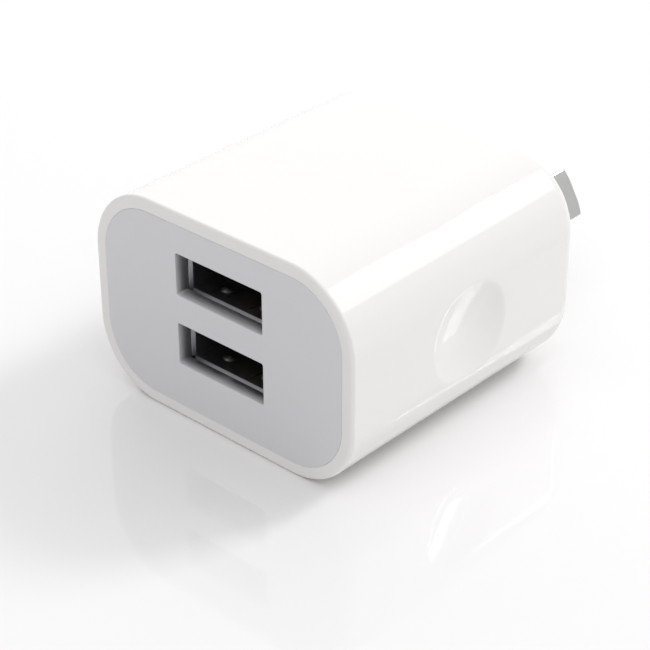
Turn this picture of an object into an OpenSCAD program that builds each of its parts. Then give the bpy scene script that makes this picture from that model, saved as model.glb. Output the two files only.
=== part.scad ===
// Two-port USB wall charger with a flat two-pin mains plug.
// The origin is the middle of the plug on the rear face: +Y goes into the wall, +Z is up.

/* [Body] */
// Width of the body
body_w = 40; // [39:0.5:44]
// Height of the body
body_h = 27; // [26.5:0.5:30]
// Length of the body, from the front plate to the wall
body_d = 40; // [39.5:0.5:48]
// Radius of the four long corners
corner_r = 9; // [8:0.5:10]
// Radius of the soft edge round the rear face
rear_edge_r = 2.3; // [1:0.1:2.3]
// Width of the white rim round the front plate
rim = 1.6; // [1.3:0.1:1.8]
// Thickness of the shell wall
wall = 2.3; // [2.1:0.1:2.4]
// Radius of the finger dimple in each side
dimple_r = 6.3; // [5:0.1:7]
// Depth of the finger dimple
dimple_depth = 0.9; // [0.4:0.1:1.2]
// Height of the finger dimple above the middle of the body
dimple_rise = -0.3; // [-2:0.1:2]

/* [Ports] */
// Thickness of the front plate
plate_t = 1.85; // [1.6:0.05:2.2]
// Width of each window in the front plate
window_w = 13.4; // [13.2:0.1:13.6]
// Height of each window in the front plate
window_h = 5.4; // [5.3:0.1:5.6]
// Distance between the middles of the two windows
port_pitch = 9.1; // [8.9:0.1:9.6]
// Height of the pair of ports above the middle of the body
port_rise = 1; // [0.5:0.1:1.5]

/* [Plug] */
// Width of each pin
pin_w = 6.35; // [6.2:0.05:6.5]
// Thickness of each pin
pin_t = 1.6; // [1.5:0.05:1.7]
// Length of each pin outside the body
pin_l = 17; // [16:0.5:18]
// Distance between the middles of the two pins
pin_pitch = 13.7; // [13.5:0.05:13.9]
// Lean of each pin away from upright
pin_lean = 30; // [28:1:32]
// Length of the insulated part of each pin
sleeve_l = 9; // [7:0.5:10]
// Height of the middle of the body above the plug
body_rise = 1; // [0:0.1:2]

/* [Board] */
// Width of the circuit board
board_w = 32.6; // [31:0.1:33]
// Thickness of the circuit board
board_t = 1.2; // [1:0.1:1.3]

/* [Hidden] */
$fn = 64;

gap = 0.05;                        // clearance between pieces that sit in each other
front_y = -body_d;
plate_back = front_y + plate_t;

// shell and front plate
mouth_w = body_w - 2 * rim;
mouth_h = body_h - 2 * rim;
cavity_w = body_w - 2 * wall;
cavity_h = body_h - 2 * wall;
hook_x = 8;                        // where the four snap hooks stand
hook_w = 5;
hook_t = 1;
hook_l = 5.5;
barb = 0.45;

// USB connector, measured from the middle of a port
port_z = [port_rise - port_pitch / 2, port_rise + port_pitch / 2];
port_w = 12.5;
port_h = 5.12;
sheet = 0.3;
can_w = port_w + 2 * sheet;
lip_y = plate_back + gap;          // where the flared mouth starts
lip_d = 0.4;
lip_out = 0.3;                     // how far the mouth flares out over that depth
can_front = lip_y + lip_d;
can_back = lip_y + 14;
can_bottom = port_z[0] - port_h / 2 - sheet;
can_top = port_z[1] + port_h / 2 + sheet;
tongue_w = 11.1;
tongue_t = 1.84;
tongue_front = plate_back + 1.65;
insulator_back = can_back - 2;
contact_x = [-3.5, -1, 1, 3.5];
contact_w = 1;
contact_t = 0.25;
tail_w = 0.6;
tail_y = [can_back - 1.75, can_back - 0.95];
tab_x = 3;                         // a pair of retaining tabs in each sheet
tab_y = front_y + 4.5;
bump_r = 0.75;
bump_h = 0.35;

// circuit board
board_top = can_bottom - gap;
board_bottom = board_top - board_t;
board_front = plate_back + 0.4;
board_back = -5.2;
rail_x = board_w / 2 - 0.9;
lead_r = 0.3;
hole_r = 0.36;
lead_drop = 1.3;                   // how far leads stand below the board
leg_y = [lip_y + 3.5, can_back - 3];
leg_w = 1.5;

// transformer
core_x = -4;
core_y = -16.5;
core_w = 13.2;
core_d = 6.1;
core_h = 12.4;
core_yoke = 2.6;
core_leg = 1.8;
core_post = 2.8;
core_lift = 1.2;                   // gap between the core and the board
coil_w = 9.2;
coil_d = 11.8;
tube_t = 0.6;

// round parts: [x, y, radius, height]
bulk_caps = [[12.2, -20.4, 4, 12.5], [12.2, -11.8, 4, 12.5]];
output_caps = [[-11.8, -31.2, 3.15, 11], [11.8, -31.2, 3.15, 11]];
cap_pitch = 3;
choke = [5.4, -14.5, 2.3, 6.5];
disc_cap = [-13.6, -21.3, 3.5, 2.8];
opto = [-13, -13.4];
fuse = [-12.9, -7.6, 1.5, 6.6];
bridge = [0, -8];

// plug, measured from the middle of a pin
base_w = 25;
base_h = 12.4;
base_r = 3.5;
flange = 1.5;
neck_w = 5.4;
neck_t = 0.95;
neck_end = -6.5;
tip_r = 8.5;
spring_w = 4;
spring_t = 0.35;

// where round leads go through the board
lead_points = concat(
    [for (c = concat(bulk_caps, output_caps), s = [-1, 1]) [c[0], c[1] + s * cap_pitch / 2]],
    [for (s = [-1, 1]) [disc_cap[0], disc_cap[1] + s * 2.5]],
    [for (s = [-1, 1]) [choke[0], choke[1] + s * 1.6]],
    [for (s = [-1, 1]) [fuse[0] + s * (fuse[3] / 2 + 0.35), fuse[1]]],
    [for (i = [-1, 0, 1], s = [-1, 1]) [core_x + i * 3.2, core_y + s * 4.9]],
    [for (i = [-1, 1], s = [-1, 1]) [opto[0] + s * 3.2, opto[1] + i * 1.27]]
);
tail_points = [for (x = contact_x, y = tail_y) [x, y]];

// ---------- shared shapes ----------

// moves what follows from the plug's middle to the body's middle
module in_body() translate([0, 0, body_rise]) children();

module round_rect(w, h, r) {
    square([w - 2 * r, h], center = true);
    square([w, h - 2 * r], center = true);
    for (x = [-1, 1], y = [-1, 1])
        translate([x * (w / 2 - r), y * (h / 2 - r)]) circle(r);
}

// a round-cornered prism along Y
module prism(w, h, r, y0, y1)
    translate([0, y1, 0]) rotate([90, 0, 0]) linear_extrude(y1 - y0) round_rect(w, h, r);

module quarter(r) intersection() {
    circle(r);
    square(r);
}

// half of a flat slab's outline, with a soft upper corner
module soft_side(half, r) {
    square([half - r, r]);
    translate([half - r, 0]) quarter(r);
}

// a round-cornered prism along Y whose far end has a soft edge
module soft_prism(w, h, r, y0, y1, edge) {
    prism(w, h, r, y0, y1 - edge);
    translate([0, y1 - edge, 0]) rotate([-90, 0, 0]) {
        for (x = [-1, 1], y = [-1, 1])
            translate([x * (w / 2 - r), y * (h / 2 - r), 0]) rotate_extrude() soft_side(r, edge);
        for (a = [0, 180]) rotate([0, 0, a]) {
            rotate([90, 0, 0]) linear_extrude(h - 2 * r, center = true) soft_side(w / 2, edge);
            rotate([90, 0, 90]) linear_extrude(w - 2 * r, center = true) soft_side(h / 2, edge);
        }
    }
}

// a block given by its low and high corners
module block(low, high) translate(low) cube(high - low);

// an outline in Y and Z, drawn out across X about x
module drawn_across(x, w) translate([x - w / 2, 0, 0]) rotate([90, 0, 90]) linear_extrude(w) children();

module lead(x, y, top) translate([x, y, board_bottom - lead_drop])
    cylinder(r = lead_r, h = top - board_bottom + lead_drop);

// ---------- shell, front plate and plug ----------

module outer_shell() color("white") in_body() {
    difference() {
        soft_prism(body_w, body_h, corner_r, front_y, 0, rear_edge_r);
        prism(mouth_w, mouth_h, corner_r - rim, front_y - 1, plate_back);
        prism(cavity_w, cavity_h, corner_r - wall, plate_back - 0.1, -wall);
        translate([0, 0, -body_rise]) prism(base_w, base_h, base_r, -wall - 1, 1);
        dimple_ball_r = (dimple_r * dimple_r + dimple_depth * dimple_depth) / (2 * dimple_depth);
        for (s = [-1, 1])
            translate([s * (body_w / 2 - dimple_depth + dimple_ball_r), -body_d / 2, dimple_rise])
                sphere(dimple_ball_r, $fn = 128);
        for (x = [-hook_x, hook_x], s = [-1, 1])
            translate([x, plate_back + hook_l - 0.7, s * (cavity_h / 2 + 0.3)])
                cube([hook_w + 0.6, 2, 1], center = true);
    }
    for (s = [-1, 1]) board_rails(s);
}

module board_rails(s) intersection() {
    prism(cavity_w + 0.4, cavity_h + 0.4, corner_r - wall, plate_back + 1, -wall - 0.1);
    for (z = [board_top + gap, board_bottom - gap - 0.9])
        translate([s * (rail_x + 5), -body_d / 2, z + 0.45]) cube([10, body_d, 0.9], center = true);
}

module front_plate() color("gainsboro") in_body() {
    difference() {
        prism(mouth_w - 2 * gap, mouth_h - 2 * gap, corner_r - rim - gap, front_y, plate_back);
        for (z = port_z)
            translate([0, front_y + plate_t / 2, z]) cube([window_w, plate_t + 1, window_h], center = true);
    }
    for (x = [-hook_x, hook_x], side = [0, 1]) mirror([0, 0, side]) drawn_across(x, hook_w) snap_hook();
}

// a springy leg along the cavity's wall, with a barb at its end
module snap_hook() {
    outer = cavity_h / 2 - gap;
    tip = plate_back + hook_l;
    polygon([
        [plate_back - 0.2, outer - hook_t], [tip, outer - hook_t], [tip, outer - 0.2],
        [tip - 0.5, outer + barb], [tip - 1.1, outer + barb], [tip - 1.1, outer], [plate_back - 0.2, outer]
    ]);
}

// puts what follows on a pin's own axis: side is -1 or 1
module on_pin(side) translate([side * pin_pitch / 2, 0, 0]) rotate([0, -side * pin_lean, 0]) children();

module bar(w, t, y0, y1) block([-t / 2, y0, -w / 2], [t / 2, y1, w / 2]);

module plug_base() color("whitesmoke") difference() {
    union() {
        prism(base_w - 2 * gap, base_h - 2 * gap, base_r - gap, -wall - 0.1, 0);
        prism(base_w + 2 * flange, base_h + 2 * flange, base_r + flange, -wall - 2, -wall - gap);
    }
    for (s = [-1, 1]) on_pin(s) {
        bar(pin_w + 2 * gap, pin_t + 2 * gap, -wall, 1);
        bar(neck_w + 2 * gap, neck_t + 2 * gap, -wall - 3, 0);
    }
}

module pin(side) on_pin(side) {
    bar(neck_w, neck_t, neck_end, sleeve_l + 0.1);
    intersection() {
        bar(pin_w, pin_t, sleeve_l, pin_l);
        translate([0, pin_l - tip_r, 0]) rotate([0, 90, 0]) cylinder(r = tip_r, h = 2 * pin_t, center = true);
    }
}

module pin_sleeve(side) on_pin(side) difference() {
    bar(pin_w, pin_t, -wall + gap, sleeve_l);
    bar(neck_w, neck_t, -wall - 1, sleeve_l + 1);
}

module live_pin() color("silver") pin(-1);
module neutral_pin() color("silver") pin(1);
module live_pin_sleeve() color("dimgray") pin_sleeve(-1);
module neutral_pin_sleeve() color("dimgray") pin_sleeve(1);

// a bronze leaf that stands on the board and leans on the pin's inner end
module pin_spring(side) in_body() drawn_across(side * pin_pitch / 2, spring_w) {
    leaf_y = neck_end - spring_t - 0.35;
    translate([leaf_y - 2.6, board_top + gap]) square([2.6 + spring_t, spring_t]);
    translate([leaf_y, board_top + gap]) square([spring_t, -body_rise + 2 - board_top]);
    translate([leaf_y + spring_t, -body_rise]) intersection() {
        scale(0.3) circle(1);
        translate([0, -1]) square(2);
    }
}

module live_spring() color("darkgoldenrod") pin_spring(-1);
module neutral_spring() color("darkgoldenrod") pin_spring(1);

// ---------- circuit board ----------

module main_board() color("seagreen") in_body() difference() {
    block([-board_w / 2, board_front, board_bottom], [board_w / 2, board_back, board_top]);
    for (p = lead_points)
        translate([p[0], p[1], board_bottom - 1]) cylinder(r = hole_r, h = board_t + 2);
    for (p = tail_points)
        translate([p[0], p[1], board_bottom + board_t / 2]) cube([tail_w + 0.2, 0.5, board_t + 1], center = true);
    for (x = [-1, 1], y = leg_y)
        translate([x * (can_w - sheet) / 2, y, board_bottom + board_t / 2])
            cube([sheet + 0.2, leg_w + 0.2, board_t + 1], center = true);
}

// one cone of solder round each lead, under the board
module solder_joints() color("gainsboro") in_body() for (p = lead_points)
    translate([p[0], p[1], board_bottom - 0.9]) difference() {
        cylinder(r1 = 0.42, r2 = 0.75, h = 0.9 - 0.02);
        translate([0, 0, -1]) cylinder(r = lead_r + 0.01, h = 3);
    }

// ---------- USB connector ----------

// outline of a flared lip: x runs outwards from the sheet's inner face, y along the port
module lip_outline() polygon([
    [0, can_front + 0.1], [0, can_front], [lip_out, lip_y],
    [lip_out + sheet, lip_y], [sheet, can_front], [sheet, can_front + 0.1]
]);

// the four lips round the mouth of the shell
module shell_lips() {
    inner_h = can_top - can_bottom - 2 * sheet;
    for (side = [0, 1]) {
        mirror([side, 0, 0]) translate([port_w / 2, 0, can_bottom + sheet]) linear_extrude(inner_h) lip_outline();
        translate([0, 0, (can_top + can_bottom) / 2]) mirror([0, 0, side]) translate([-port_w / 2, 0, inner_h / 2])
            rotate([0, 90, 0]) linear_extrude(port_w) mirror([1, 0]) lip_outline();
    }
}

// two springy tabs in a sheet, each hinged near the mouth and freed by slots round the rest
module tab_slots(z) for (x = [-tab_x, tab_x]) {
    low_y = can_front + 0.9;
    high_y = tab_y + 1.6;
    for (s = [-1, 1])
        translate([x + s * 1.15, (low_y + high_y) / 2, z]) cube([0.25, high_y - low_y, 2 * sheet], center = true);
    translate([x, high_y, z]) cube([2.55, 0.25, 2 * sheet], center = true);
}

// the round bump on each tab: face is 1 where it stands up from the sheet, -1 where it hangs down
module tab_bumps(z, face) for (x = [-tab_x, tab_x]) {
    ball = (bump_r * bump_r + bump_h * bump_h) / (2 * bump_h);
    translate([x, tab_y, z]) mirror([0, 0, face < 0 ? 1 : 0]) intersection() {
        translate([0, 0, bump_h - ball]) sphere(ball);
        translate([0, 0, 0.95]) cube(2, center = true);
    }
}

module usb_shell() color("lightgray") in_body() {
    difference() {
        block([-can_w / 2, can_front, can_bottom], [can_w / 2, can_back, can_top]);
        block([-port_w / 2, can_front - 1, can_bottom + sheet], [port_w / 2, can_back - sheet, can_top - sheet]);
        block([-port_w / 2 + 1, tail_y[0] - 0.6, can_bottom - 1], [port_w / 2 - 1, can_back - sheet, can_bottom + 1]);
        tab_slots(can_bottom + sheet / 2);
        tab_slots(can_top - sheet / 2);
    }
    shell_lips();
    tab_bumps(can_bottom + sheet, 1);
    tab_bumps(can_top - sheet, -1);
    for (x = [-1, 1], y = leg_y)
        translate([x * (can_w - sheet) / 2, y, (can_bottom + 0.5 + board_bottom - lead_drop) / 2])
            cube([sheet, leg_w, can_bottom + 0.5 - board_bottom + lead_drop], center = true);
}

// the folded sheet between the ports: floor of the upper one and ceiling of the lower one
module usb_divider() color("lightgray") in_body() {
    floor_z = port_z[1] - port_h / 2;
    ceiling_z = port_z[0] + port_h / 2;
    half = port_w / 2 - gap;
    difference() {
        drawn_across(0, 2 * half) polygon([
            [insulator_back - 4, ceiling_z], [can_front, ceiling_z], [lip_y, ceiling_z + lip_out],
            [lip_y, floor_z - lip_out], [can_front, floor_z], [insulator_back - 4, floor_z]
        ]);
        drawn_across(0, 2 * half + 2) polygon([
            [insulator_back, ceiling_z + sheet], [can_front + sheet / 3, ceiling_z + sheet],
            [lip_y + sheet, ceiling_z + lip_out + sheet / 2], [lip_y + sheet, floor_z - lip_out - sheet / 2],
            [can_front + sheet / 3, floor_z - sheet], [insulator_back, floor_z - sheet]
        ]);
        tab_slots(floor_z - sheet / 2);
        tab_slots(ceiling_z + sheet / 2);
    }
    tab_bumps(floor_z, 1);
    tab_bumps(ceiling_z, -1);
}

module usb_insulator() color([0.12, 0.12, 0.13]) in_body() difference() {
    half = port_w / 2 - gap;
    web_z = [port_z[0] + port_h / 2 + sheet + 3 * gap, port_z[1] - port_h / 2 - sheet - 3 * gap];
    union() {
        block([-half, insulator_back - 4 + gap, can_bottom + sheet + gap], [half, insulator_back, can_top - sheet - gap]);
        block([-half, can_front + 2 * sheet + tab_y - front_y, web_z[0]], [half, insulator_back - 3, web_z[1]]);
        for (z = port_z)
            block([-tongue_w / 2, tongue_front, z], [tongue_w / 2, insulator_back - 3, z + tongue_t]);
    }
    for (x = contact_x, z = port_z)
        block([x - contact_w / 2 - gap, tongue_front + 0.6, z - 0.01], [x + contact_w / 2 + gap, can_back, z + contact_t + gap]);
}

// four leaf contacts under one tongue, each with a round nose and a tail down to the board
module port_contacts(port) in_body() for (x = contact_x) {
    z = port_z[port];
    nose_y = tongue_front + 2.2;
    nose_r = 1.5;
    drawn_across(x, contact_w) {
        translate([nose_y, z]) square([tail_y[port] + contact_t / 2 - nose_y, contact_t]);
        translate([nose_y, z + nose_r - 0.45]) intersection() {
            difference() {
                circle(nose_r);
                circle(nose_r - contact_t);
            }
            translate([-nose_r, -nose_r - 0.1]) square([2 * nose_r, 0.45 + contact_t]);
        }
    }
    block([x - tail_w / 2, tail_y[port] - contact_t / 2, board_bottom - lead_drop],
        [x + tail_w / 2, tail_y[port] + contact_t / 2, z + contact_t]);
}

module upper_port_contacts() color("gold") port_contacts(1);
module lower_port_contacts() color("gold") port_contacts(0);

// ---------- transformer ----------

module at_core() in_body() translate([core_x, core_y, board_top + core_lift + core_h / 2]) children();

// one half of the ferrite core, an E lying on its back
module core_half() {
    block([-core_w / 2, -core_d / 2, core_h / 2 - core_yoke], [core_w / 2, core_d / 2, core_h / 2]);
    for (s = [-1, 1]) translate([s * (core_w - core_leg) / 2, 0, core_h / 4 + 0.01])
        cube([core_leg, core_d, core_h / 2 - 0.02], center = true);
    translate([0, 0, core_h / 4 + 0.01]) cube([core_post, core_d, core_h / 2 - 0.02], center = true);
}

module transformer_core() color("dimgray") at_core() for (side = [0, 1]) mirror([0, 0, side]) core_half();

// a rectangular ring about the core's post, standing on end
module ring(w, d, h, inner_w, inner_d) difference() {
    cube([w, d, h], center = true);
    cube([inner_w, inner_d, h + 1], center = true);
}

post_w = core_post + 2 * gap;
post_d = core_d + 2 * gap;
bobbin_h = core_h - 2 * core_yoke - 2 * gap;
flange_t = 0.6;
winding_h = bobbin_h - 2 * flange_t - 2 * gap;
primary_w = 6.2;
primary_d = 9.4;
wound_w = coil_w - 0.4;
wound_d = coil_d - 0.6;

module transformer_bobbin() color("black") at_core() {
    ring(post_w + 2 * tube_t, post_d + 2 * tube_t, bobbin_h, post_w, post_d);
    for (s = [-1, 1]) translate([0, 0, s * (bobbin_h - flange_t) / 2])
        ring(coil_w, coil_d, flange_t, post_w, post_d);
    rail_low = -core_h / 2 - core_lift + gap;
    for (s = [-1, 1]) {
        block([-coil_w / 2, s > 0 ? core_d / 2 + 0.3 : -coil_d / 2, rail_low + 0.3],
            [coil_w / 2, s > 0 ? coil_d / 2 : -core_d / 2 - 0.3, -bobbin_h / 2 + flange_t / 2]);
        for (i = [-1, 0, 1]) translate([i * 3.2, s * 4.9, rail_low - board_t - lead_drop])
            cylinder(r = lead_r, h = board_t + lead_drop + 0.5);
    }
}

module primary_winding() color("peru") at_core()
    ring(primary_w, primary_d, winding_h, post_w + 2 * tube_t + 2 * gap, post_d + 2 * tube_t + 2 * gap);

module secondary_winding() color("sienna") at_core()
    ring(wound_w - 0.3, wound_d - 0.3, winding_h, primary_w + 2 * gap, primary_d + 2 * gap);

module winding_tape() color("gold") at_core()
    ring(wound_w, wound_d, winding_h, wound_w - 0.2, wound_d - 0.2);

module core_tape() color("yellow") at_core() rotate([90, 0, 0])
    ring(core_w + 0.3, core_h + 0.3, core_d - 1, core_w + 0.04, core_h + 0.04);

// ---------- parts on top of the board ----------

// an aluminium can with a rolled groove near its foot, on two leads
module capacitor(c) {
    translate([c[0], c[1], board_top + gap]) rotate_extrude() polygon([
        [0, 0], [c[2] - 0.15, 0], [c[2] - 0.15, 1.4], [c[2] - 0.6, 1.8], [c[2] - 0.15, 2.2],
        [c[2] - 0.15, c[3] - 0.4], [c[2] - 0.5, c[3] - 0.1], [c[2] - 0.9, c[3] - 0.2], [0, c[3] - 0.2]
    ]);
    for (s = [-1, 1]) lead(c[0], c[1] + s * cap_pitch / 2, board_top + gap + 0.2);
}

module bulk_capacitors() color("silver") in_body() for (c = bulk_caps) capacitor(c);
module output_capacitors() color("silver") in_body() for (c = output_caps) capacitor(c);

// the printed plastic skin round each can, turned in over its top edge
module capacitor_sleeves() color("darkslategray") in_body() for (c = concat(bulk_caps, output_caps))
    translate([c[0], c[1], board_top + gap + 0.3]) rotate_extrude() polygon([
        [c[2] - 0.12, 0], [c[2], 0], [c[2], c[3] - 0.5], [c[2] - 0.3, c[3] - 0.2], [c[2] - 0.9, c[3] - 0.2],
        [c[2] - 0.9, c[3] - 0.3], [c[2] - 0.4, c[3] - 0.3], [c[2] - 0.12, c[3] - 0.6]
    ]);

module y_capacitor() color("royalblue") in_body() {
    middle_z = board_top + 1.5 + disc_cap[2];
    translate([disc_cap[0], disc_cap[1], middle_z]) rotate([0, 90, 0])
        cylinder(r = disc_cap[2], h = disc_cap[3], center = true);
    for (s = [-1, 1]) lead(disc_cap[0], disc_cap[1] + s * 2.5, middle_z - 1.5);
}

module optocoupler() color("ivory") in_body() {
    block([opto[0] - 2.3, opto[1] - 2.3, board_top + 0.6], [opto[0] + 2.3, opto[1] + 2.3, board_top + 3.6]);
    for (i = [-1, 1], s = [-1, 1]) {
        lead(opto[0] + s * 3.2, opto[1] + i * 1.27, board_top + 2);
        translate([opto[0] + s * 2.8, opto[1] + i * 1.27, board_top + 1.9]) cube([1.3, 0.6, 0.3], center = true);
    }
}

module fusible_resistor() color("olivedrab") in_body() {
    z = board_top + fuse[2] + 0.3;
    translate([fuse[0], fuse[1], z]) rotate([0, 90, 0]) {
        cylinder(r = fuse[2], h = fuse[3], center = true);
        cylinder(r = lead_r, h = fuse[3] + 1.2, center = true);
    }
    for (s = [-1, 1]) lead(fuse[0] + s * (fuse[3] / 2 + 0.35), fuse[1], z);
}

module choke_bobbin() translate([choke[0], choke[1], board_top + gap]) {
    cylinder(r = choke[2], h = 1);
    translate([0, 0, choke[3] - 1]) cylinder(r = choke[2], h = 1);
    cylinder(r = 1.1, h = choke[3]);
}

module choke_core() color("dimgray") in_body() {
    choke_bobbin();
    for (s = [-1, 1]) lead(choke[0], choke[1] + s * 1.6, board_top + 0.3);
}

module choke_winding() color("peru") in_body() {
    translate([choke[0], choke[1], board_top + gap + 1 + gap]) difference() {
        cylinder(r = choke[2] - 0.3, h = choke[3] - 2 - 2 * gap);
        translate([0, 0, -1]) cylinder(r = 1.1 + gap, h = choke[3]);
    }
}

// a small moulded block on folded feet: w across X, d along Y, standing on face z
module chip(x, y, z, w, d, h, feet, down) translate([x, y, z]) mirror([0, 0, down]) {
    translate([0, 0, h / 2 + 0.15]) cube([w, d, h], center = true);
    for (i = [0:feet - 1], s = [-1, 1])
        translate([(i - (feet - 1) / 2) * 1.27, s * (d / 2 + 0.4), h / 4 + 0.08]) cube([0.4, 0.9, h / 2], center = true);
}

module bridge_rectifier() color("black") in_body() chip(bridge[0], bridge[1], board_top + 0.02, 4.7, 3.9, 2.4, 2, 0);
module controller_chip() color("black") in_body() chip(-2, -12, board_bottom - 0.02, 4.9, 3.9, 1.4, 4, 1);
module port_chip() color("black") in_body() chip(-1, -31.5, board_bottom - 0.02, 4.9, 3.9, 1.4, 4, 1);
module output_rectifier() color("black") in_body() chip(2, -19.5, board_bottom - 0.02, 5.6, 4.2, 2.1, 1, 1);

module chip_row(x, y, step, count, w, d, h) in_body() for (i = [0:count - 1])
    translate([x + i * step, y, board_bottom - 0.02 - h / 2]) cube([w, d, h], center = true);

module chip_resistors() color("black") {
    chip_row(-9, -25.2, 2.4, 7, 1.25, 2, 0.5);
    chip_row(-5, -7.4, 2.4, 3, 1.25, 2, 0.5);
}

module chip_capacitors() color("tan") {
    chip_row(-8, -28, 2.4, 3, 1.25, 2, 0.8);
    chip_row(5.6, -28, 2.4, 2, 1.25, 2, 0.8);
}

// a stiff sheet that keeps the mains side off the connector's can
module insulation_sheet() color("ghostwhite") in_body()
    block([-10, can_back + 0.4, board_top + gap], [8, can_back + 0.7, can_top + 1]);

outer_shell();
front_plate();
plug_base();
live_pin();
neutral_pin();
live_pin_sleeve();
neutral_pin_sleeve();
live_spring();
neutral_spring();
main_board();
solder_joints();
usb_shell();
usb_divider();
usb_insulator();
upper_port_contacts();
lower_port_contacts();
transformer_core();
transformer_bobbin();
primary_winding();
secondary_winding();
winding_tape();
core_tape();
bulk_capacitors();
output_capacitors();
capacitor_sleeves();
y_capacitor();
optocoupler();
fusible_resistor();
choke_core();
choke_winding();
bridge_rectifier();
controller_chip();
output_rectifier();
port_chip();
chip_resistors();
chip_capacitors();
insulation_sheet();
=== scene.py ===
import math

import bmesh
import bpy
from mathutils import Matrix, Vector


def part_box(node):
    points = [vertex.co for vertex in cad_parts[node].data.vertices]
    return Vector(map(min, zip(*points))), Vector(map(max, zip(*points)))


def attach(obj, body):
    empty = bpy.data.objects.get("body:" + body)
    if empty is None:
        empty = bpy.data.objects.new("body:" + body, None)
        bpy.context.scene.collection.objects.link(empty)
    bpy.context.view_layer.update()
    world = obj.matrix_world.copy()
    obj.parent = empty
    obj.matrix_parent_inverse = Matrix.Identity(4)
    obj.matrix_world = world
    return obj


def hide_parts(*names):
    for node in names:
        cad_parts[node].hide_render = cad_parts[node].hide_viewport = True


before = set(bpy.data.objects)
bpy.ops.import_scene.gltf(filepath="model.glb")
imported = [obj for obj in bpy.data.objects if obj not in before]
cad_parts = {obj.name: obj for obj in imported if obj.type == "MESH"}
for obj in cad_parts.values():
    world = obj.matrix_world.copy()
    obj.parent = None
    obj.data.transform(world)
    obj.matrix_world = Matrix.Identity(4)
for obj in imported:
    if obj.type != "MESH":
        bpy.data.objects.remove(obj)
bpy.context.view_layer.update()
mm = 0.001
print("frame loaded:", len(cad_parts), "nodes")


def boxInMm(node):
    low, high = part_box(node)
    return low / mm, high / mm


shellLow, shellHigh = boxInMm("outer_shell")
bodyWidth = shellHigh.x - shellLow.x
bodyHeight = shellHigh.z - shellLow.z
bodyMiddle = (shellHigh.z + shellLow.z) / 2
bodyFront = shellLow.y
connectorGap = 0.05    # mm, between the plate and the connector's can
plateBack = boxInMm("usb_shell")[0].y - connectorGap


camera = {
    "azimuth": 42.26,
    "elevation": 30.85,
    "roll": -0.09,
    "aim": (8.32, -31.53, 2.13),    # mm, the point that the camera looks at
    "distance": 227.1,              # mm
    "lens": 112.3,
    "sensorWidth": 36,
    "clip": (0.01, 20),             # metres
}


def addCamera():
    data = bpy.data.cameras.new("studioCamera")
    data.lens = camera["lens"]
    data.sensor_width = camera["sensorWidth"]
    data.clip_start, data.clip_end = camera["clip"]
    turn = Matrix.Rotation(math.radians(camera["azimuth"]), 4, "Z")
    tilt = Matrix.Rotation(math.radians(90 - camera["elevation"]), 4, "X")
    roll = Matrix.Rotation(math.radians(camera["roll"]), 4, "Z")
    facing = turn @ tilt @ roll
    back = (turn @ tilt).to_3x3() @ Vector((0, 0, 1))
    place = (Vector(camera["aim"]) + back * camera["distance"]) * mm
    thing = bpy.data.objects.new("studioCamera", data)
    thing.matrix_world = Matrix.Translation(place) @ facing
    bpy.context.scene.collection.objects.link(thing)
    bpy.context.scene.camera = thing


addCamera()
print("camera placed")


def hexToLinear(code):
    # an sRGB colour as the linear red, green, blue and alpha that the nodes take
    channels = [int(code[i:i + 2], 16) / 255 for i in (1, 3, 5)]
    linear = [c / 12.92 if c < 0.04045 else ((c + 0.055) / 1.055) ** 2.4 for c in channels]
    return linear + [1.0]


def addNode(tree, kind, settings=None, links=None):
    # a setting's key is a property or an input, and a link's key is an input
    # the mix node's colours are only told apart by number: inputs 6 and 7, output 2
    made = tree.nodes.new(kind)
    for key, value in (settings or {}).items():
        if isinstance(key, str) and hasattr(made, key):
            setattr(made, key, value)
        else:
            made.inputs[key].default_value = value
    for key, source in (links or {}).items():
        tree.links.new(source, made.inputs[key])
    return made


def perMetre(size):
    # how many times a pattern of this size in mm repeats in a metre
    return 1 / (size * mm)


def newMaterial(name):
    material = bpy.data.materials.new(name)
    material.use_nodes = True
    material.node_tree.nodes.clear()
    return material, material.node_tree


def moulded(name, look):
    # a slow change of shade, a fine grain in the gloss and a shallow relief
    material, tree = newMaterial(name)
    point = addNode(tree, "ShaderNodeTexCoord").outputs["Object"]
    slow = addNode(tree, "ShaderNodeTexNoise",
                   {"Scale": perMetre(look["blotch"]), "Detail": 2.0}, {"Vector": point})
    shade = addNode(tree, "ShaderNodeMix",
                    {"data_type": "RGBA", 6: hexToLinear(look["base"]), 7: hexToLinear(look["shade"])},
                    {0: slow.outputs["Fac"]})
    fine = addNode(tree, "ShaderNodeTexNoise",
                   {"Scale": perMetre(look["grain"]), "Detail": 3.0}, {"Vector": point})
    smoothest, roughest = look["roughness"]
    gloss = addNode(tree, "ShaderNodeMapRange",
                    {"To Min": smoothest, "To Max": roughest}, {"Value": fine.outputs["Fac"]})
    relief = addNode(tree, "ShaderNodeBump",
                     {"Strength": look["bump"], "Distance": look["depth"] * mm},
                     {"Height": fine.outputs["Fac"]})
    shader = addNode(tree, "ShaderNodeBsdfPrincipled",
                     {"Metallic": look.get("metallic", 0.0), "IOR": look.get("ior", 1.5)},
                     {"Base Color": shade.outputs[2], "Roughness": gloss.outputs["Result"],
                      "Normal": relief.outputs["Normal"]})
    addNode(tree, "ShaderNodeOutputMaterial", {}, {"Surface": shader.outputs["BSDF"]})
    return material


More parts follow.
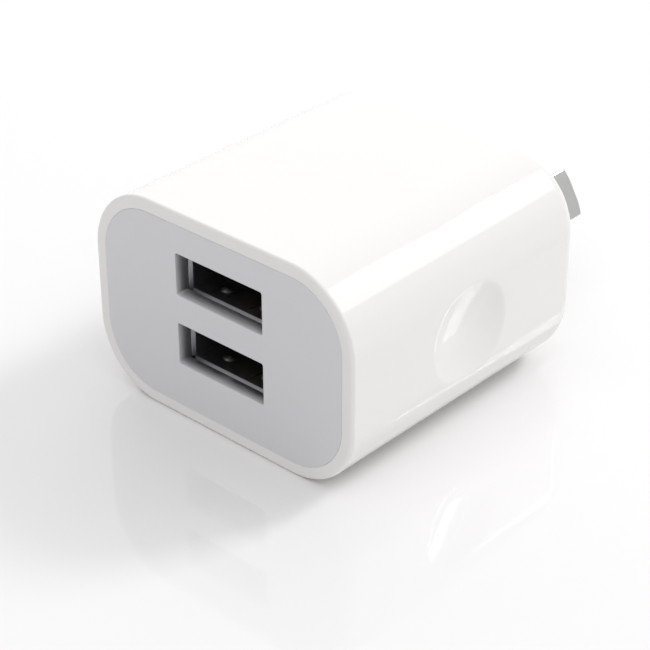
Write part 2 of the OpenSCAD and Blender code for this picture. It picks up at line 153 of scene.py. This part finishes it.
def drawn(name, look):
    # metal with fine lines along one axis, left by rolling, drawing or brushing
    material, tree = newMaterial(name)
    point = addNode(tree, "ShaderNodeTexCoord").outputs["Object"]
    stretch = addNode(tree, "ShaderNodeMapping",
                      {"Scale": [perMetre(size) for size in look["line"]]}, {"Vector": point})
    lines = addNode(tree, "ShaderNodeTexNoise",
                    {"Scale": 1.0, "Detail": 3.0}, {"Vector": stretch.outputs["Vector"]})
    shade = addNode(tree, "ShaderNodeMix",
                    {"data_type": "RGBA", 6: hexToLinear(look["base"]), 7: hexToLinear(look["shade"])},
                    {0: lines.outputs["Fac"]})
    smoothest, roughest = look["roughness"]
    gloss = addNode(tree, "ShaderNodeMapRange",
                    {"To Min": smoothest, "To Max": roughest}, {"Value": lines.outputs["Fac"]})
    relief = addNode(tree, "ShaderNodeBump",
                     {"Strength": look["bump"], "Distance": look["depth"] * mm},
                     {"Height": lines.outputs["Fac"]})
    shader = addNode(tree, "ShaderNodeBsdfPrincipled", {"Metallic": 1.0},
                     {"Base Color": shade.outputs[2], "Roughness": gloss.outputs["Result"],
                      "Normal": relief.outputs["Normal"]})
    addNode(tree, "ShaderNodeOutputMaterial", {}, {"Surface": shader.outputs["BSDF"]})
    return material


def wound(name, look):
    # wire laid turn beside turn: round ridges one wire apart, with painted shade darkening the valleys
    # between them
    material, tree = newMaterial(name)
    point = addNode(tree, "ShaderNodeTexCoord").outputs["Object"]
    bandsPerUnit = 20 / (2 * math.pi)    # the wave node's own count at a scale of 1
    turns = addNode(tree, "ShaderNodeTexWave",
                    {"bands_direction": "Z", "Scale": perMetre(look["pitch"]) / bandsPerUnit,
                     "Distortion": look["waver"], "Detail": 1.0}, {"Vector": point})
    # the valleys between the turns take the darker colour: painted shade where the turns hide each
    # other
    shade = addNode(tree, "ShaderNodeMix",
                    {"data_type": "RGBA", 6: hexToLinear(look["shade"]), 7: hexToLinear(look["base"])},
                    {0: turns.outputs["Fac"]})
    relief = addNode(tree, "ShaderNodeBump",
                     {"Strength": look["bump"], "Distance": look["ridge"] * mm},
                     {"Height": turns.outputs["Fac"]})
    shader = addNode(tree, "ShaderNodeBsdfPrincipled",
                     {"Metallic": 1.0, "Roughness": look["roughness"],
                      "Coat Weight": look["coat"], "Coat Roughness": look["coatRoughness"]},
                     {"Base Color": shade.outputs[2], "Normal": relief.outputs["Normal"]})
    addNode(tree, "ShaderNodeOutputMaterial", {}, {"Surface": shader.outputs["BSDF"]})
    return material


def solderMask(name, look):
    # lacquer over copper tracks that stand a little proud of the board
    material, tree = newMaterial(name)
    point = addNode(tree, "ShaderNodeTexCoord").outputs["Object"]
    cells = addNode(tree, "ShaderNodeTexVoronoi",
                    {"feature": "DISTANCE_TO_EDGE", "distance": "MANHATTAN",
                     "Scale": perMetre(look["trackGap"])}, {"Vector": point})
    insideEdge, outsideEdge = look["trackEdge"]
    tracks = addNode(tree, "ShaderNodeMapRange",
                     {"From Min": insideEdge, "From Max": outsideEdge, "To Min": 1.0, "To Max": 0.0},
                     {"Value": cells.outputs["Distance"]})
    shade = addNode(tree, "ShaderNodeMix",
                    {"data_type": "RGBA", 6: hexToLinear(look["base"]), 7: hexToLinear(look["track"])},
                    {0: tracks.outputs["Result"]})
    relief = addNode(tree, "ShaderNodeBump",
                     {"Strength": look["bump"], "Distance": look["depth"] * mm},
                     {"Height": tracks.outputs["Result"]})
    shader = addNode(tree, "ShaderNodeBsdfPrincipled", {"Roughness": look["roughness"]},
                     {"Base Color": shade.outputs[2], "Normal": relief.outputs["Normal"]})
    addNode(tree, "ShaderNodeOutputMaterial", {}, {"Surface": shader.outputs["BSDF"]})
    return material


# sizes in mm: blotch is the slow change of shade, grain or line the fine one, depth its relief
# tool grain and drawing lines are really finer than 0.1 mm, and are drawn coarser so that they show
looks = {
    # polished ABS: a bright, slightly wavy gloss over milky white
    "glossAbs": (moulded, {
        "base": "#F4F2F1", "shade": "#F2F0EF", "blotch": 18, "grain": 1.4,
        "roughness": (0.04, 0.07), "bump": 0.05, "depth": 0.01, "ior": 1.53}),
    # spark-eroded ABS: an even satin that scatters the light
    "satinAbs": (moulded, {
        "base": "#E0E0E4", "shade": "#DDDDE1", "blotch": 12, "grain": 0.25,
        "roughness": (0.34, 0.44), "bump": 0.15, "depth": 0.012, "ior": 1.53}),
    # plug insert: white polycarbonate, a little duller than the shell
    "plugPolycarbonate": (moulded, {
        "base": "#F0EFED", "shade": "#ECEBE8", "blotch": 8, "grain": 0.5,
        "roughness": (0.28, 0.36), "bump": 0.1, "depth": 0.015, "ior": 1.58}),
    # moulded nylon sleeve: black with a soft sheen
    "sleeveNylon": (moulded, {
        "base": "#17171A", "shade": "#1F1F22", "blotch": 4, "grain": 0.2,
        "roughness": (0.38, 0.5), "bump": 0.2, "depth": 0.01, "ior": 1.53}),
    # connector core: black glass-filled nylon, dull
    "connectorNylon": (moulded, {
        "base": "#0B0B0C", "shade": "#121213", "blotch": 3, "grain": 0.15,
        "roughness": (0.5, 0.65), "bump": 0.25, "depth": 0.01, "ior": 1.53}),
    # sintered ferrite: dark grey stone with a fine sparkle
    "ferrite": (moulded, {
        "base": "#2A2A2C", "shade": "#3A3A3C", "blotch": 0.6, "grain": 0.12,
        "roughness": (0.35, 0.6), "bump": 0.4, "depth": 0.02, "ior": 1.6}),
    # phenolic bobbin: hard, black, slightly glossy
    "phenolic": (moulded, {
        "base": "#141312", "shade": "#1C1A18", "blotch": 2, "grain": 0.2,
        "roughness": (0.3, 0.42), "bump": 0.15, "depth": 0.01, "ior": 1.55}),
    # polyester tape: glossy amber film with faint wrinkles
    "polyesterTape": (moulded, {
        "base": "#E8B820", "shade": "#D9A415", "blotch": 3, "grain": 1.1,
        "roughness": (0.12, 0.25), "bump": 0.4, "depth": 0.05, "ior": 1.57}),
    # shrunk PVC skin: dark navy gloss, a touch uneven
    "shrunkPvc": (moulded, {
        "base": "#101826", "shade": "#152036", "blotch": 6, "grain": 0.9,
        "roughness": (0.15, 0.24), "bump": 0.2, "depth": 0.03, "ior": 1.54}),
    # dipped ceramic disc: thick blue lacquer
    "dippedCeramic": (moulded, {
        "base": "#1F56B4", "shade": "#17479C", "blotch": 2, "grain": 1.0,
        "roughness": (0.12, 0.22), "bump": 0.4, "depth": 0.06, "ior": 1.55}),
    # moulded white epoxy: a flat, chalky package
    "whiteEpoxy": (moulded, {
        "base": "#E4E1D8", "shade": "#DAD6CB", "blotch": 2, "grain": 0.2,
        "roughness": (0.45, 0.6), "bump": 0.25, "depth": 0.01, "ior": 1.55}),
    # silicone-coated resistor: matt green cement
    "resistorCement": (moulded, {
        "base": "#5E8466", "shade": "#527559", "blotch": 1.5, "grain": 0.2,
        "roughness": (0.6, 0.8), "bump": 0.4, "depth": 0.03, "ior": 1.5}),
    # black moulding epoxy: dull chip bodies with a fine grain
    "chipEpoxy": (moulded, {
        "base": "#18181A", "shade": "#222225", "blotch": 1.5, "grain": 0.12,
        "roughness": (0.5, 0.65), "bump": 0.3, "depth": 0.01, "ior": 1.55}),
    # fired ceramic chip: warm tan with pale specks
    "firedCeramic": (moulded, {
        "base": "#A98A68", "shade": "#97795A", "blotch": 0.5, "grain": 0.1,
        "roughness": (0.4, 0.55), "bump": 0.2, "depth": 0.01, "ior": 1.6}),
    # pressed insulating sheet: off-white with faint fibres
    "pressedSheet": (moulded, {
        "base": "#E6E4DC", "shade": "#D8D5CA", "blotch": 1.5, "grain": 0.3,
        "roughness": (0.5, 0.7), "bump": 0.3, "depth": 0.02, "ior": 1.5}),
    # bright solder: silver with a soft, slightly frosted skin
    "tinSolder": (moulded, {
        "base": "#D6D7D9", "shade": "#BFC0C3", "blotch": 0.8, "grain": 0.3,
        "roughness": (0.2, 0.34), "bump": 0.3, "depth": 0.02, "metallic": 1.0}),
    # nickel-plated brass: soft grey shine, faint lines along the pin
    "nickelPlate": (drawn, {
        "base": "#EEEEED", "shade": "#E6E6E5", "line": (0.12, 3.0, 0.12),
        "roughness": (0.24, 0.36), "bump": 0.12, "depth": 0.008}),
    # tinned steel sheet, rolled and stamped: a hazy grey mirror with brighter cut edges; its grey is
    # darker than tin's own, as painted shade for the dim insides of the ports
    "tinnedSteel": (drawn, {
        "base": "#A8A8AC", "shade": "#9C9CA0", "line": (0.2, 3.0, 0.2),
        "roughness": (0.34, 0.42), "bump": 0.03, "depth": 0.004}),
    # rolled phosphor bronze strip: warm brown metal with fine lines along it
    "phosphorBronze": (drawn, {
        "base": "#C98F55", "shade": "#B67E47", "line": (1.5, 0.1, 1.5),
        "roughness": (0.25, 0.36), "bump": 0.15, "depth": 0.008}),
    # gold flash over nickel: a thin yellow shine on the contacts
    "goldFlash": (drawn, {
        "base": "#D8C08C", "shade": "#CBB27C", "line": (0.1, 1.5, 0.1),
        "roughness": (0.16, 0.26), "bump": 0.1, "depth": 0.006}),
    # deep-drawn aluminium can: pale silver with upright drawing lines
    "drawnAluminium": (drawn, {
        "base": "#D3D5D7", "shade": "#C2C4C7", "line": (0.15, 0.15, 2.5),
        "roughness": (0.2, 0.3), "bump": 0.12, "depth": 0.008}),
    # enamelled copper wire: reddish glossy turns, with painted shade in the valleys between them
    "enamelledCopper": (wound, {
        "base": "#C8703A", "shade": "#7E3B1A", "pitch": 0.22, "ridge": 0.22 / 3,
        "waver": 0.4, "roughness": 0.35, "bump": 0.8, "coat": 0.6, "coatRoughness": 0.2}),
    # glass-fibre board under green lacquer: a wet-looking gloss with paler tracks
    "boardLacquer": (solderMask, {
        "base": "#14532B", "track": "#2B7A41", "trackGap": 2.2, "trackEdge": (0.04, 0.12),
        "roughness": 0.28, "bump": 0.6, "depth": 0.035}),
}

finishes = {name: make(name, look) for name, (make, look) in looks.items()}
print("materials made:", len(finishes))

# which finish each carried-over node wears
nodeFinish = {
    "plug_base": "plugPolycarbonate",
    "live_spring": "phosphorBronze", "neutral_spring": "phosphorBronze",
    "main_board": "boardLacquer", "solder_joints": "tinSolder",
    "usb_shell": "tinnedSteel", "usb_divider": "tinnedSteel", "usb_insulator": "connectorNylon",
    "upper_port_contacts": "goldFlash", "lower_port_contacts": "goldFlash",
    "transformer_core": "ferrite", "transformer_bobbin": "phenolic",
    "primary_winding": "enamelledCopper", "secondary_winding": "enamelledCopper",
    "winding_tape": "polyesterTape", "core_tape": "polyesterTape",
    "bulk_capacitors": "drawnAluminium", "output_capacitors": "drawnAluminium",
    "capacitor_sleeves": "shrunkPvc",
    "y_capacitor": "dippedCeramic", "optocoupler": "whiteEpoxy",
    "fusible_resistor": "resistorCement",
    "choke_core": "ferrite", "choke_winding": "enamelledCopper",
    "bridge_rectifier": "chipEpoxy", "controller_chip": "chipEpoxy",
    "output_rectifier": "chipEpoxy", "port_chip": "chipEpoxy",
    "chip_resistors": "chipEpoxy", "chip_capacitors": "firedCeramic",
    "insulation_sheet": "pressedSheet",
}


# the sheet's cut edges are rounded a little, so that they catch the light; sizes in mm
cutSheet = {"nodes": ("usb_shell", "usb_divider"), "edge": 0.08, "segments": 2, "angle": 40,
            "seam": 0.001}


def softenEdges(thing):
    weld = thing.modifiers.new("joinSeams", "WELD")
    weld.merge_threshold = cutSheet["seam"] * mm
    bevel = thing.modifiers.new("softEdges", "BEVEL")
    bevel.width = cutSheet["edge"] * mm
    bevel.segments = cutSheet["segments"]
    bevel.limit_method = "ANGLE"
    bevel.angle_limit = math.radians(cutSheet["angle"])


for node, finish in nodeFinish.items():
    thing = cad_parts[node]
    thing.data.materials.clear()
    thing.data.materials.append(finishes[finish])
    if node in cutSheet["nodes"]:
        softenEdges(thing)
print("carried-over nodes dressed:", len(nodeFinish))


def roundRect(width, height, radius, middle, steps):
    # points of a round-cornered outline in X and Z
    # steps are how many a corner, an upright side and a flat side get
    corner, upright, flat = steps
    points = []
    for quarter in range(4):
        sideX = 1 if quarter in (0, 3) else -1
        sideZ = 1 if quarter in (0, 1) else -1
        centreX = sideX * (width / 2 - radius)
        centreZ = middle + sideZ * (height / 2 - radius)
        for i in range(corner + 1):
            angle = math.pi / 2 * (quarter + i / corner)
            x = centreX + radius * math.cos(angle)
            z = centreZ + radius * math.sin(angle)
            if i < corner:
                points.append((x, z))
        across = quarter in (0, 2)
        length = (width if across else height) - 2 * radius
        alongX, alongZ = ((-1, 0), (0, -1), (1, 0), (0, 1))[quarter]
        count = flat if across else upright
        for i in range(count):
            step = length * i / count
            points.append((x + alongX * step, z + alongZ * step))
    return points


def atY(outline, y):
    return [(x, y, z) for x, z in outline]


def loft(mesh, rings, closed=False):
    # joins each ring of points, in mm, to the next one
    rows = [[mesh.verts.new(Vector(point) * mm) for point in ring] for ring in rings]
    pairs = list(zip(rows, rows[1:]))
    if closed:
        pairs.append((rows[-1], rows[0]))
    for near, far in pairs:
        for i in range(len(near)):
            j = (i + 1) % len(near)
            mesh.faces.new((near[i], near[j], far[j], far[i]))
    return rows


def capEnds(mesh, lofts):
    # fills the first and last rings of a loft, leaving open the rings of the others as holes
    for end in (0, -1):
        edges = []
        for rows in lofts:
            row = rows[end]
            edges += [mesh.edges.get((row[i - 1], row[i])) for i in range(len(row))]
        bmesh.ops.triangle_fill(mesh, edges=edges, use_beauty=True)


def solid(mesh, outer, holes=()):
    capEnds(mesh, [loft(mesh, outer)] + [loft(mesh, rings) for rings in holes])


def finishPiece(mesh, name, node, finish):
    bmesh.ops.recalc_face_normals(mesh, faces=mesh.faces)
    data = bpy.data.meshes.new(name)
    mesh.to_mesh(data)
    mesh.free()
    data.shade_smooth()
    data.materials.append(finishes[finish])
    piece = bpy.data.objects.new(name, data)
    bpy.context.scene.collection.objects.link(piece)
    even = piece.modifiers.new("evenShading", "WEIGHTED_NORMAL")
    even.weight = 100    # the largest faces win, so that flat ones look flat
    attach(piece, "root")
    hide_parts(node)


def arcSteps(count):
    # sine and cosine along a quarter turn
    angles = [math.pi / 2 * i / count for i in range(count + 1)]
    return [(math.sin(angle), math.cos(angle)) for angle in angles]


shell = {
    "cornerRadius": 9, "rim": 1.6, "wall": 2.3,
    "rimInnerEdge": 0.08, "rimInnerSteps": 4,
    "rimOuterEdge": 0.45, "rimOuterSteps": 6,
    "rearEdge": 2.3, "rearSteps": 10,
    "opening": (25, 12.4, 3.5),    # for the plug base: width, height and corner radius
    "openingEdge": 0.2, "openingSteps": 3,
    "dimpleRadius": 6.3, "dimpleDepth": 0.9, "dimpleRise": -0.3, "dimpleLip": 0.1,
    "dimpleMargin": 1,             # how far outside the dimple its lip may still reach
    "ringMargin": 0.6,             # how far the close rings go past the dimple
    "ringStep": 0.16,
    "steps": (64, 56, 12),         # points round a corner, up a side and across the top
}


def shellRing(inset, y):
    outline = roundRect(bodyWidth - 2 * inset, bodyHeight - 2 * inset,
                        shell["cornerRadius"] - inset, bodyMiddle, shell["steps"])
    return atY(outline, y)


def openingRing(grow, y):
    width, height, radius = shell["opening"]
    outline = roundRect(width + 2 * grow, height + 2 * grow, radius + grow, 0, shell["steps"])
    return atY(outline, y)


def scooped(point):
    # presses the finger dimple, part of a large ball, into the side that this point is on
    x, y, z = point
    radius, depth, lip = shell["dimpleRadius"], shell["dimpleDepth"], shell["dimpleLip"]
    ball = (radius ** 2 + depth ** 2) / (2 * depth)
    away = (y - bodyFront / 2) ** 2 + (z - bodyMiddle - shell["dimpleRise"]) ** 2
    if away > (radius + shell["dimpleMargin"]) ** 2:
        return point
    # the smaller of the ball and the side, with the step between them rounded to a soft lip
    bowl = bodyWidth / 2 - depth + ball - math.sqrt(ball ** 2 - away)
    share = min(1, max(0, 0.5 + 0.5 * (bowl - abs(x)) / lip))
    pressed = bowl * (1 - share) + abs(x) * share - lip * share * (1 - share)
    return (math.copysign(pressed, x), y, z)


def makeShell():
    # one surface, from the inside of the rim round the outside to the plug's opening and back
    mesh = bmesh.new()
    rim, wall, rear = shell["rim"], shell["wall"], shell["rearEdge"]
    innerEdge, outerEdge, edge = shell["rimInnerEdge"], shell["rimOuterEdge"], shell["openingEdge"]
    rings = [shellRing(rim, plateBack)]
    for s, c in arcSteps(shell["rimInnerSteps"]):
        rings.append(shellRing(rim - innerEdge * (1 - c), bodyFront + innerEdge * (1 - s)))
    for s, c in arcSteps(shell["rimOuterSteps"]):
        rings.append(shellRing(outerEdge * (1 - s), bodyFront + outerEdge * (1 - c)))
    reach = shell["dimpleRadius"] + shell["ringMargin"]
    count = round(2 * reach / shell["ringStep"])
    for i in range(count + 1):
        y = bodyFront / 2 - reach + 2 * reach * i / count
        rings.append([scooped(point) for point in shellRing(0, y)])
    for s, c in arcSteps(shell["rearSteps"]):
        rings.append(shellRing(rear * (1 - c), -rear * (1 - s)))
    for s, c in arcSteps(shell["openingSteps"]):
        rings.append(openingRing(edge * (1 - s), -edge * (1 - c)))
    rings.append(openingRing(0, -wall))
    rings.append(shellRing(wall, -wall))
    rings.append(shellRing(wall, plateBack))
    loft(mesh, rings, closed=True)
    finishPiece(mesh, "whiteShell", "outer_shell", "glossAbs")


makeShell()
print("shell made")


plate = {
    "rim": 1.61, "cornerRadius": 7.39, "edge": 0.05, "edgeSteps": 3, "steps": (24, 6, 10),
    "windowWidth": 13.4, "windowHeight": 5.4, "windowCorner": 0.25, "windowEdge": 0.1,
    "windowSteps": (4, 4, 8), "pitch": 9.1, "rise": 1.0,
    "hookX": 8, "hookWidth": 5, "hookThick": 1, "hookLength": 5.5, "hookRoot": 0.2,
    "hookGap": 0.05, "hookLead": 0.2, "barb": 0.45, "barbStart": 0.5, "barbEnd": 1.1,
}


def plateRing(inset, y):
    rim = plate["rim"] + inset
    outline = roundRect(bodyWidth - 2 * rim, bodyHeight - 2 * rim,
                        plate["cornerRadius"] - inset, bodyMiddle, plate["steps"])
    return atY(outline, y)


def windowRing(grow, y, middle):
    outline = roundRect(plate["windowWidth"] + 2 * grow, plate["windowHeight"] + 2 * grow,
                        plate["windowCorner"] + grow, middle, plate["windowSteps"])
    return atY(outline, y)


def addHook(mesh, x, side):
    # a tongue behind the plate, with a barb that snaps into the shell's wall
    outside = bodyHeight / 2 - shell["wall"] - plate["hookGap"]
    inside = outside - plate["hookThick"]
    crest = outside + plate["barb"]
    root = plateBack - plate["hookRoot"]
    tip = plateBack + plate["hookLength"]
    outline = [(root, inside), (tip, inside), (tip, outside - plate["hookLead"]),
               (tip - plate["barbStart"], crest), (tip - plate["barbEnd"], crest),
               (tip - plate["barbEnd"], outside), (root, outside)]
    half = plate["hookWidth"] / 2
    rings = [[(x + end * half, y, bodyMiddle + side * z) for y, z in outline] for end in (-1, 1)]
    solid(mesh, rings)


def makeFrontPlate():
    mesh = bmesh.new()
    edge, windowEdge = plate["edge"], plate["windowEdge"]
    steps = arcSteps(plate["edgeSteps"])
    outer = [plateRing(edge * (1 - s), bodyFront + edge * (1 - c)) for s, c in steps]
    outer.append(plateRing(0, plateBack))
    holes = []
    for side in (-1, 1):
        middle = bodyMiddle + plate["rise"] + side * plate["pitch"] / 2
        rings = [windowRing(windowEdge * (1 - s), bodyFront + windowEdge * (1 - c), middle)
                 for s, c in steps]
        rings.append(windowRing(0, plateBack, middle))
        holes.append(rings)
    solid(mesh, outer, holes)
    for x in (-plate["hookX"], plate["hookX"]):
        for side in (-1, 1):
            addHook(mesh, x, side)
    finishPiece(mesh, "greyFrontPlate", "front_plate", "satinAbs")


makeFrontPlate()
print("front plate made")


pins = {
    "pitch": 13.7, "lean": 30, "length": 17, "steps": (4, 6, 3),
    "width": 6.35, "thick": 1.6, "edge": 0.22,
    "footInset": 0.05, "footEdge": 0.2, "footEnd": 0.08,    # where the blade leaves the sleeve
    "tipRadius": 8.5, "tipSteps": 12, "tipStart": 0.35,
    "tipBevel": 0.5, "tipThinning": 0.1, "tipNarrowing": 0.12,
    "neckWidth": 5.4, "neckThick": 0.95, "neckEdge": 0.2, "neckEnd": -6.5, "neckLead": 0.15,
    "sleeve": 9, "sleeveEdge": 0.2, "sleeveGap": 0.02, "sleeveRootGap": 0.05,
    "sleeveLead": 0.1, "sleeveInset": 0.08, "sleeveTipEdge": 0.14,
}


def pinRing(width, thick, edge, y, side):
    # a round-edged section across the pin, leaned over and moved to its place
    section = roundRect(thick, width, edge, 0, pins["steps"])
    lean = math.radians(pins["lean"]) * side
    middle = side * pins["pitch"] / 2
    return [(middle + x * math.cos(lean) - z * math.sin(lean), y,
             x * math.sin(lean) + z * math.cos(lean)) for x, z in section]


def makePin(name, side, node):
    mesh = bmesh.new()
    width, thick, edge, length = pins["width"], pins["thick"], pins["edge"], pins["length"]
    neck = (pins["neckWidth"], pins["neckThick"], pins["neckEdge"])
    lead, foot = pins["neckLead"], pins["footInset"]
    seat = pins["sleeve"] + pins["sleeveGap"]
    rings = [
        pinRing(neck[0] - 2 * lead, neck[1] - 2 * lead, lead, pins["neckEnd"], side),
        pinRing(*neck, pins["neckEnd"] + lead, side),
        pinRing(*neck, seat, side),
        pinRing(width - 2 * foot, thick - 2 * foot, pins["footEdge"], seat, side),
        pinRing(width, thick, edge, pins["sleeve"] + pins["footEnd"], side),
    ]
    # the end is a shallow arc, and its edges are struck off a little
    radius = pins["tipRadius"]
    shoulder = length - radius + math.sqrt(radius ** 2 - (width / 2) ** 2)
    rings.append(pinRing(width, thick, edge, shoulder - pins["tipStart"], side))
    for s, c in arcSteps(pins["tipSteps"])[:-1]:
        y = shoulder + (length - shoulder) * s
        chord = 2 * math.sqrt(radius ** 2 - (y - length + radius) ** 2)
        tipWidth = chord - pins["tipNarrowing"]
        tipThick = thick - pins["tipBevel"] * (1 - c) - pins["tipThinning"] * s
        rings.append(pinRing(tipWidth, tipThick, edge, y, side))
    solid(mesh, rings)
    finishPiece(mesh, name, node, "nickelPlate")


def makeSleeve(name, side, node):
    mesh = bmesh.new()
    width, thick, edge = pins["width"], pins["thick"], pins["sleeveEdge"]
    gap, inset = pins["sleeveGap"], pins["sleeveInset"]
    inner = (pins["neckWidth"] + gap, pins["neckThick"] + gap, pins["neckEdge"])
    low, high = pins["sleeveRootGap"] - shell["wall"], pins["sleeve"]
    rings = [
        pinRing(*inner, low, side),
        pinRing(width, thick, edge, low, side),
        pinRing(width, thick, edge, high - pins["sleeveLead"], side),
        pinRing(width - 2 * inset, thick - 2 * inset, pins["sleeveTipEdge"], high, side),
        pinRing(*inner, high, side),
    ]
    loft(mesh, rings, closed=True)
    finishPiece(mesh, name, node, "sleeveNylon")


for side, wire in ((-1, "live"), (1, "neutral")):
    makePin(wire + "Pin", side, wire + "_pin")
    makeSleeve(wire + "PinSleeve", side, wire + "_pin_sleeve")
print("pins made")


floorBoard = {"base": "#F3F2F2", "roughness": (0.01, 0.05), "cloud": 60, "ior": 1.5,
              "size": 3.0}    # metres


def makeFloor():
    # glazed white board: pale, with a soft mirror image of what stands on it
    material, tree = newMaterial("glazedBoard")
    point = addNode(tree, "ShaderNodeTexCoord").outputs["Object"]
    cloud = addNode(tree, "ShaderNodeTexNoise",
                    {"Scale": perMetre(floorBoard["cloud"]), "Detail": 2.0}, {"Vector": point})
    smoothest, roughest = floorBoard["roughness"]
    gloss = addNode(tree, "ShaderNodeMapRange",
                    {"To Min": smoothest, "To Max": roughest}, {"Value": cloud.outputs["Fac"]})
    shader = addNode(tree, "ShaderNodeBsdfPrincipled",
                     {"Base Color": hexToLinear(floorBoard["base"]), "IOR": floorBoard["ior"]},
                     {"Roughness": gloss.outputs["Result"]})
    addNode(tree, "ShaderNodeOutputMaterial", {}, {"Surface": shader.outputs["BSDF"]})
    half = floorBoard["size"] / 2
    height = shellLow.z * mm
    corners = [(x * half, y * half, height) for x, y in ((-1, -1), (1, -1), (1, 1), (-1, 1))]
    data = bpy.data.meshes.new("studioFloor")
    data.from_pydata(corners, [], [(0, 1, 2, 3)])
    data.materials.append(material)
    floor = bpy.data.objects.new("studioFloor", data)
    bpy.context.scene.collection.objects.link(floor)


# azimuth and elevation in degrees, counted as for the camera; sizes and distances in metres;
# brightness says how many times brighter than a white sheet
lamps = {
    "windowSoftbox": {"azimuth": 157.5, "elevation": 38, "distance": 1.5,
                      "width": 0.34, "height": 0.33, "brightness": 19},
    "sideReflector": {"azimuth": 145, "elevation": 37.5, "distance": 1.7,
                      "width": 0.74, "height": 0.68, "brightness": 1.8},
}


def addLamp(name, look):
    data = bpy.data.lights.new(name, "AREA")
    data.shape = "RECTANGLE"
    data.size = look["width"]
    data.size_y = look["height"]
    data.energy = look["brightness"] * math.pi * look["width"] * look["height"]
    turn = Matrix.Rotation(math.radians(look["azimuth"]), 4, "Z")
    tilt = Matrix.Rotation(math.radians(90 - look["elevation"]), 4, "X")
    facing = turn @ tilt
    place = facing.to_3x3() @ Vector((0, 0, look["distance"]))
    thing = bpy.data.objects.new(name, data)
    thing.matrix_world = Matrix.Translation(place) @ facing
    bpy.context.scene.collection.objects.link(thing)


air = {
    "base": 0.285,
    "tightness": 4.0,
    # azimuth, elevation and strength of each soft glow
    "glows": [(225, 8, 0.8), (0, 48, 0.5), (72, 48, 0.68), (216, 48, 0.3), (135, 8, 0.17),
              (270, 8, 0.12), (0, 90, 0.36)],
}


def makeAir():
    # pale surroundings, brighter behind and to the right
    world = bpy.data.worlds.new("studioAir")
    world.use_nodes = True
    tree = world.node_tree
    tree.nodes.clear()
    direction = addNode(tree, "ShaderNodeTexCoord").outputs["Generated"]
    total = None
    for azimuth, elevation, strength in air["glows"]:
        around, above = math.radians(azimuth), math.radians(elevation)
        toward = (math.sin(around) * math.cos(above), -math.cos(around) * math.cos(above),
                  math.sin(above))
        facing = addNode(tree, "ShaderNodeVectorMath",
                         {"operation": "DOT_PRODUCT", 1: toward}, {0: direction})
        front = addNode(tree, "ShaderNodeMath",
                        {"operation": "MAXIMUM", 1: 0.0}, {0: facing.outputs["Value"]})
        glow = addNode(tree, "ShaderNodeMath",
                       {"operation": "POWER", 1: air["tightness"]}, {0: front.outputs["Value"]})
        layer = addNode(tree, "ShaderNodeMath",
                        {"operation": "MULTIPLY_ADD", 1: strength, 2: air["base"]},
                        {0: glow.outputs["Value"]})
        if total:
            tree.links.new(total, layer.inputs[2])
        total = layer.outputs["Value"]
    sky = addNode(tree, "ShaderNodeBackground",
                  {"Color": hexToLinear("#FFFFFF")}, {"Strength": total})
    addNode(tree, "ShaderNodeOutputWorld", {}, {"Surface": sky.outputs["Background"]})
    bpy.context.scene.world = world
    bpy.context.scene.view_settings.view_transform = "Standard"


makeFloor()
for name, look in lamps.items():
    addLamp(name, look)
makeAir()
print("studio lit")
